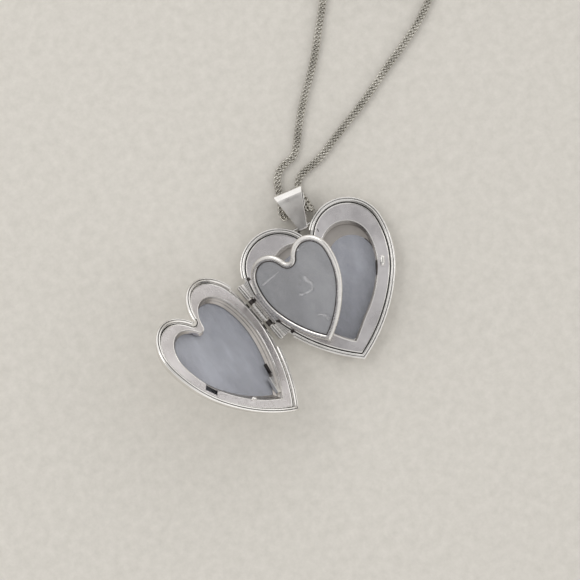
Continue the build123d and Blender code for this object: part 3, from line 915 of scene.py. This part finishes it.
def block(name, start, end, width, low, high, material, body):
    """Bar with softened corners lying between two points of a half's own plan."""
    soft = min(BLOCK_SOFT, width / 4, (high - low) / 3)
    along = (Vector(end) - Vector(start)).normalized()
    side = Vector((-along.y, along.x))
    bm = bmesh.new()
    loops = []
    for inset, z in ((soft, low), (0.0, low + soft), (0.0, high - soft), (soft, high)):
        a, b = Vector(start) + along * inset, Vector(end) - along * inset
        reach = side * (width / 2 - inset)
        loops.append(plan_loop(bm, body, (a - reach, b - reach, b + reach, a + reach), z))
    join_capped(bm, loops)
    finish_piece(bm, name, [material], body, SHEET_CRISP)


def pillow(name, middle, lean, size, low, high, body, node):
    """Tab with a rounded, raised top."""
    turn = Matrix.Rotation(math.radians(lean), 2)
    bm = bmesh.new()
    loops = []
    for k in range(PILLOW_STEPS):
        t = math.pi / 2 * k / PILLOW_STEPS
        outline = []
        for i in range(PILLOW_AROUND):
            a = math.tau * i / PILLOW_AROUND
            x = squared(math.cos(a), PILLOW_POWER) * size[0] / 2
            y = squared(math.sin(a), PILLOW_POWER) * size[1] / 2
            outline.append(turn @ (Vector((x, y)) * math.cos(t) ** PILLOW_ROUND) + Vector(middle))
        loops.append(plan_loop(bm, body, outline, low + (high - low) * math.sin(t)))
    join_capped(bm, loops)
    finish_piece(bm, name, [POLISHED], body, ROUND_CRISP, replaces=node)


pillow("lug", (9.27, -0.80), -22.0, (0.84, 1.86), -0.47, 0.60, "case", "catch_lug")
block("slot_cheek", (9.47, -1.96), (10.22, -0.11), 0.28, -0.78, -0.455, SATIN, "cover")
pillow("pip", (4.85, -7.00), -43.0, (0.55, 0.95), -0.47, 0.14, "cover", "cover_pip")
# painted shade: dark bars in the spring well, the cleft's gaps and the slots
block("spring_well", (8.62, -0.35), (7.78, -2.40), 0.62, -1.35, -0.52, SHADE_BLACK, "case")
block("cleft_gap_left", (-0.80, 8.45), (-0.80, 9.20), 0.32, -0.44, -0.20, SHADE_BLACK, "case")
block("cleft_gap_right", (1.16, 8.40), (1.16, 9.00), 0.26, -0.44, -0.20, SHADE_BLACK, "case")
block("plate_slot", (2.10, 8.30), (2.10, 7.70), 0.20, -0.60, SHADE_BAR_TOP, SHADE_BLACK, "case")
block("cover_slot", (-3.95, -5.50), (-3.05, -7.00), 0.42, -1.10, -0.62, SHADE_BLACK, "cover")
block("cover_tongue", (-2.20, -7.35), (-0.75, -9.85), 0.72, -1.20, -0.50, POLISHED, "cover")
# painted shade: dark line along the back card's edge
loft("insert_line", strip(BACK_INSERT, -0.05, 0.07, -1.62, -1.44), SHADE_BLACK, "case", beside_card,
     moved=turned_insert)

# ======================================================================
# hinge: fluted knuckles with their leaves
# ======================================================================
KNUCKLE_R, LEAF_LOW, LEAF_TOP = 0.56, -0.45, -0.05
KNUCKLE_SOFT = 0.06
LEAF_GROW = 0.12                        # the leaves end on the outline grown by this
LOBE_TOP_Y = 7.5                        # above it the outline turns back towards the cleft
BARREL_STEPS = 40
# the flutes' faces of barrels and leaves are drawn in painted shade
BARREL_FLUTES = (8, 13, 18)             # steps round the barrel, counted from the leaf's top
BARREL_FLUTE_DEEP, LEAF_FLUTE_DEEP, PAGE_FLUTE_DEEP = 0.09, 0.12, 0.06
LEAF_FLUTES = (0.84, 0.58, 0.32)        # shares of the leaf's width
PAGE_BARREL_R, PAGE_BARREL_STEPS = 0.42, 24
PAGE_LEAF_NEAR, PAGE_LEAF_FAR = 0.60, 2.35
PAGE_LEAF_TOP = 0.03
PAGE_LEAF_FLUTES = (1.85, 1.40, 0.95)


def outline_from_pin(along, grow):
    """How far inward of the pin's line the left side of the heart lies, at a place along it."""
    left_side = [by_pin(x, y) for x, y in heart(grow) if x < 0 and y < LOBE_TOP_Y]
    return min((abs(place - along), across) for across, place in left_side)[1]


def prism(name, sections, material, body, replaces=None, dark=()):
    """Solid between outlines of (across, height) given at places along the pin."""
    bm = bmesh.new()
    loops = []
    for along, outline in sections:
        foot = Vector((HINGE.x, HINGE.y, 0)) + ALONG_PIN * along
        loops.append([bm.verts.new(PLACES[body] @ (foot + FROM_PIN * q + Vector((0, 0, z))) * MM)
                      for q, z in outline])
    join_capped(bm, loops, dark)
    finish_piece(bm, name, [material, SHADE], body, PRISM_CRISP, replaces=replaces)


def pin_shade_bar(name, across, height, span, body):
    """Bar of painted shade along the pin, between two distances from it, two heights and two places along it.
    """
    outline = [(across[0], height[0]), (across[1], height[0]), (across[1], height[1]), (across[0], height[1])]
    prism(name, [(along, outline) for along in span], SHADE_BLACK, body)


def grooves(places, deep):
    """Places and depths of the points of square grooves, from the far one to the near one."""
    section = ((0.05, 0.0), (0.03, deep), (-0.03, deep), (-0.05, 0.0))
    return [(place + offset, dip) for place in places for offset, dip in section]


def knuckle_outline(reach, shrink):
    """Barrel round the pin, grooved, running into a leaf with grooves; and the grooves' places."""
    r = KNUCKLE_R - shrink
    outline, dark = [], set()
    start, end = math.asin(LEAF_TOP / r), math.asin(LEAF_LOW / r)
    for i in range(BARREL_STEPS + 1):
        t = start + (math.tau + end - start) * i / BARREL_STEPS
        deep = BARREL_FLUTE_DEEP if i in BARREL_FLUTES else 0.0
        if deep:
            dark.update((len(outline) - 1, len(outline)))
        outline.append(((r - deep) * math.cos(t), (r - deep) * math.sin(t)))
    outline.append((reach - shrink, LEAF_LOW + shrink))
    outline.append((reach - shrink, LEAF_TOP - shrink))
    for share, dip in grooves(LEAF_FLUTES, LEAF_FLUTE_DEEP):
        if dip:
            dark.add(len(outline))
        outline.append((r + (reach - r) * share, LEAF_TOP - shrink - dip))
    return outline, dark


def fluted_knuckle(name, first, last, body, node):
    sections = []
    for along, shrink in ((first, KNUCKLE_SOFT), (first + KNUCKLE_SOFT, 0.0), (last - KNUCKLE_SOFT, 0.0),
                          (last, KNUCKLE_SOFT)):
        outline, dark = knuckle_outline(outline_from_pin(along, LEAF_GROW), shrink)
        sections.append((along, outline))
    prism(name, sections, WORN, body, node, dark)


def page_barrel(name, span, node):
    """Slim tube of the page between the case's and the cover's knuckles, darkened with painted shade."""
    turns = [math.tau * i / PAGE_BARREL_STEPS for i in range(PAGE_BARREL_STEPS)]
    outline = [(PAGE_BARREL_R * math.cos(t), PAGE_BARREL_R * math.sin(t)) for t in turns]
    prism(name, [(along, outline) for along in span], SHADE_BLACK, "page", node)


def page_leaf():
    """Strip along the page's side that carries its two barrels, with lengthwise grooves."""
    outline = [(PAGE_LEAF_NEAR, -0.22), (PAGE_LEAF_FAR, -0.26), (PAGE_LEAF_FAR, PAGE_LEAF_TOP)]
    dark = set()
    for across, dip in grooves(PAGE_LEAF_FLUTES, PAGE_FLUTE_DEEP):
        if dip:
            dark.add(len(outline))
        outline.append((across, PAGE_LEAF_TOP - dip))
    outline.append((PAGE_LEAF_NEAR, 0.0))
    prism("page_leaf", [(along, outline) for along in (-2.80, 2.35)], WORN, "page", dark=dark)


fluted_knuckle("knuckle_back_upper", 2.62, 5.10, "case", "back_knuckle_upper")
fluted_knuckle("knuckle_back_lower", -5.45, -3.05, "case", "back_knuckle_lower")
fluted_knuckle("knuckle_cover", -1.65, 1.35, "cover", "cover_knuckle")
page_barrel("barrel_page_upper", (1.60, 2.35), "page_knuckle_upper")
page_barrel("barrel_page_lower", (-2.80, -1.90), "page_knuckle_lower")
page_leaf()
# painted shade: dark bars for the shadowed arms, holes, bed and leaf ends of the hinge
pin_shade_bar("barrel_arm_upper", (0.30, 0.70), (-0.20, -0.01), (1.62, 2.33), "page")
pin_shade_bar("barrel_arm_lower", (0.30, 0.70), (-0.20, -0.01), (-2.78, -1.92), "page")
pin_shade_bar("leaf_hole_upper", (0.62, 0.98), (0.0, 0.042), (1.62, 2.12), "page")
pin_shade_bar("leaf_hole_lower", (0.98, 1.62), (-0.60, SHADE_BAR_TOP), (-3.35, -2.80), "case")
pin_shade_bar("hinge_bed", (0.55, 1.3), (-1.0, -0.62), (-5.3, 5.0), "case")
pin_shade_bar("leaf_mark_top", (1.72, 2.30), (-0.60, SHADE_BAR_TOP), (4.90, 5.42), "case")
pin_shade_bar("leaf_mark", (1.72, 2.30), (-0.60, SHADE_BAR_TOP), (-5.95, -5.45), "case")

# ======================================================================
# bail: satin strap with a polished fold
# ======================================================================
BAIL_PIN_Y, BAIL_PIN_Z = 9.60, 1.85
BAIL_END_Y, BAIL_END_Z = 14.20, 2.86
BAIL_EYE_R, BAIL_END_R, BAIL_T = 0.59, 1.50, 0.35
BAIL_BASE_W, BAIL_TOP_W = 1.60, 5.00
BAIL_SOFT = 0.07
BAIL_YAW = math.radians(-2.5)
BAIL_SHIFT = 0.15
BAIL_ROLL = math.radians(-7)
FOLD_FROM, FOLD_TO = math.radians(80), math.radians(36)
HALF_TURN_STEPS, STRAIGHT_STEPS = 24, 12
POLISH_FROM, POLISH_BELOW_Z = 0.26, 2.0     # the strap is polished past its fold and on its underside
# the strap's inner side is drawn in painted shade
BAIL_INSIDE_STRIP = 3


def on_circle(y, z, r, t):
    return y + r * math.cos(t), z + r * math.sin(t)


def bail_line(offset):
    """Closed line of the strap in (y, z), drawn in by offset from its outer side."""
    span = Vector((BAIL_END_Y - BAIL_PIN_Y, BAIL_END_Z - BAIL_PIN_Z))
    lean = math.acos((BAIL_EYE_R - BAIL_END_R) / span.length)
    heading = math.atan2(span.y, span.x)
    end = (BAIL_END_Y, BAIL_END_Z, BAIL_END_R - offset)
    eye = (BAIL_PIN_Y, BAIL_PIN_Z, BAIL_EYE_R - offset)
    points = []
    for i in range(HALF_TURN_STEPS * 2 + 1):
        t = heading + lean - 2 * lean * i / (HALF_TURN_STEPS * 2)
        if FOLD_TO < t < FOLD_FROM:
            u = (FOLD_FROM - t) / (FOLD_FROM - FOLD_TO)
            points.append(between(on_circle(*end, FOLD_FROM), on_circle(*end, FOLD_TO), u))
        else:
            points.append(on_circle(*end, t))
    for i in range(1, STRAIGHT_STEPS):
        t = heading - lean
        points.append(between(on_circle(*end, t), on_circle(*eye, t), i / STRAIGHT_STEPS))
    for i in range(HALF_TURN_STEPS + 1):
        points.append(on_circle(*eye, heading - lean - (math.tau - 2 * lean) * i / HALF_TURN_STEPS))
    for i in range(1, STRAIGHT_STEPS):
        t = heading + lean
        points.append(between(on_circle(*eye, t), on_circle(*end, t), i / STRAIGHT_STEPS))
    return points


def make_bail():
    outer, inner = bail_line(0.0), bail_line(BAIL_T)
    edge_out, edge_in = bail_line(BAIL_SOFT), bail_line(BAIL_T - BAIL_SOFT)
    pivot = Vector((0, BAIL_PIN_Y, 0))
    shift = Vector((BAIL_SHIFT, 0, 0))
    axis = Vector((0, BAIL_PIN_Y, BAIL_PIN_Z))
    roll = Matrix.Translation(axis) @ Matrix.Rotation(BAIL_ROLL, 4, "Y") @ Matrix.Translation(-axis)
    yaw = Matrix.Rotation(BAIL_YAW, 4, "Z")
    length = BAIL_END_Y + BAIL_END_R - BAIL_PIN_Y
    left = ((outer, BAIL_SOFT, -1), (edge_out, 0.0, -1), (edge_in, 0.0, -1), (inner, BAIL_SOFT, -1))
    right = ((inner, BAIL_SOFT, 1), (edge_in, 0.0, 1), (edge_out, 0.0, 1), (outer, BAIL_SOFT, 1))
    bm = bmesh.new()
    loops = []
    for line, inset, side in left + right:
        loop = []
        for y, z in line:
            u = min(max((y - BAIL_PIN_Y) / length, 0.0), 1.0)
            half = (BAIL_BASE_W + (BAIL_TOP_W - BAIL_BASE_W) * u) / 2 - inset
            point = pivot + shift + yaw @ (roll @ Vector((side * half, y, z)) - pivot)
            loop.append(bm.verts.new(point * MM))
        loops.append(loop)
    for strip_number, (a, b) in enumerate(zip(loops, loops[1:] + loops[:1])):
        for face in join_loops(bm, a, b):
            middle = face.calc_center_median() / MM
            if strip_number == BAIL_INSIDE_STRIP:
                face.material_index = 2
            elif middle.y > BAIL_END_Y + POLISH_FROM or middle.z < POLISH_BELOW_Z:
                face.material_index = 1
    finish_piece(bm, "bail_strap", [STRAP, POLISHED, SHADE], "bail", BAIL_CRISP, replaces="bail")


make_bail()

# ======================================================================
# clasp spring: a fine helix inside the ring's tube
# ======================================================================
CLASP_X, CLASP_Y, CLASP_Z = 20.3, 49.8, 0.95
CLASP_R = 2.2
SPRING_TURNS, SPRING_PER_TURN, SPRING_SECTION = 34, 12, 5
SPRING_WIRE_R, SPRING_COIL_R = 0.04, 0.20
SPRING_FROM, SPRING_TO = math.radians(172), math.radians(289)


def make_spring():
    line = []
    for i in range(SPRING_TURNS * SPRING_PER_TURN + 1):
        u = i / (SPRING_TURNS * SPRING_PER_TURN)
        a = SPRING_FROM + (SPRING_TO - SPRING_FROM) * u
        t = math.tau * SPRING_TURNS * u
        r = CLASP_R + SPRING_COIL_R * math.cos(t)
        z = CLASP_Z + SPRING_COIL_R * math.sin(t)
        line.append(Vector((CLASP_X + r * math.cos(a), CLASP_Y + r * math.sin(a), z)) * MM)
    bm = bmesh.new()
    rings = []
    for point, tangent, side, up in frames_along(line):
        rings.append([bm.verts.new(point + (side * math.cos(k) + up * math.sin(k)) * SPRING_WIRE_R * MM)
                      for k in (math.tau * j / SPRING_SECTION for j in range(SPRING_SECTION))])
    join_capped(bm, rings)
    finish_piece(bm, "spring_coil", [STEEL], "case", replaces="clasp_spring")


make_spring()

# ======================================================================
# finishes of the CAD nodes that are shown as they are
# ======================================================================
FINISHES = {
    "polished_silver": POLISHED, "satin_silver": SATIN, "chain_silver": CHAIN, "clear_film": FILM,
    "picture_card": CARD, "spring_steel": STEEL,
}
for part in frame["record"]["subparts"]:
    node = frame["nodes"][part["node"]]
    node.data.materials.clear()
    node.data.materials.append(FINISHES[part["material_slot"]])
    for face in node.data.polygons:
        face.material_index = 0

low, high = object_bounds()
